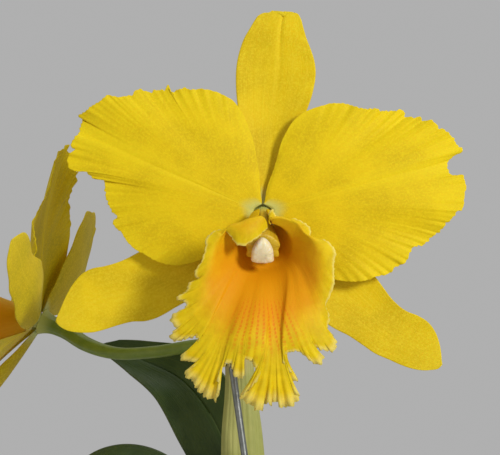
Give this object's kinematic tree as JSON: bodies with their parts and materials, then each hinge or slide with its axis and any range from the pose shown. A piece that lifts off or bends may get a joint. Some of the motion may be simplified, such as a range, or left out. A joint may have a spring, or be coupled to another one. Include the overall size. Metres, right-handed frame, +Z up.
{
  "type": "potted_orchid",
  "caption": "Potted cattleya orchid in yellow flower, with leafy pseudobulbs on bark in a plain terracotta pot",
  "frame": {"origin": "middle of the pot's flat base", "axes": "+Z up, -Y towards a viewer who faces the open flower, +X to that viewer's right"},
  "size_m": [0.2707, 0.2036, 0.491],
  "materials": {
    "terracotta": "unglazed clay, matt, with faint pale bloom",
    "bark": "loose fir bark chips, rough and dry",
    "rhizome": "woody creeping stem with papery scales",
    "root": "spongy silver-white root skin with green tips",
    "bulb": "smooth ribbed green stem under dry papery sheaths",
    "leaf": "thick waxy leaf, satin, with a paler midrib",
    "sheath": "pale green papery sheath, fine lengthwise veins",
    "stem": "smooth green stem, satin",
    "petal": "soft yellow petal, matt with a fine sparkle of cells",
    "lip": "golden orange, velvety, with red-orange veins and a pale frilled edge",
    "anther_cap": "smooth cream, waxy",
    "stake": "galvanised wire, dull grey",
    "tie": "green plastic-covered wire"
  },
  "bodies": {
    "root": {"pot": "terracotta", "bark_mix": "bark", "rhizome": "rhizome", "root_1": "root", "root_2": "root", "root_3": "root", "pseudobulb_1": "bulb", "pseudobulb_2": "bulb", "pseudobulb_3": "bulb", "pseudobulb_4": "bulb", "leaf_1": "leaf", "leaf_2": "leaf", "leaf_3": "leaf", "leaf_4": "leaf", "flower_sheath": "sheath", "peduncle": "stem", "pedicel_front": "stem", "pedicel_side": "stem", "front_dorsal_sepal": "petal", "front_left_sepal": "petal", "front_right_sepal": "petal", "front_left_petal": "petal", "front_right_petal": "petal", "front_lip": "lip", "front_column": "lip", "front_anther_cap": "anther_cap", "side_dorsal_sepal": "petal", "side_left_sepal": "petal", "side_right_sepal": "petal", "side_left_petal": "petal", "side_right_petal": "petal", "side_lip": "lip", "side_column": "lip", "side_anther_cap": "anther_cap", "stake": "stake", "plant_tie": "tie"}
  },
  "joints": []
}
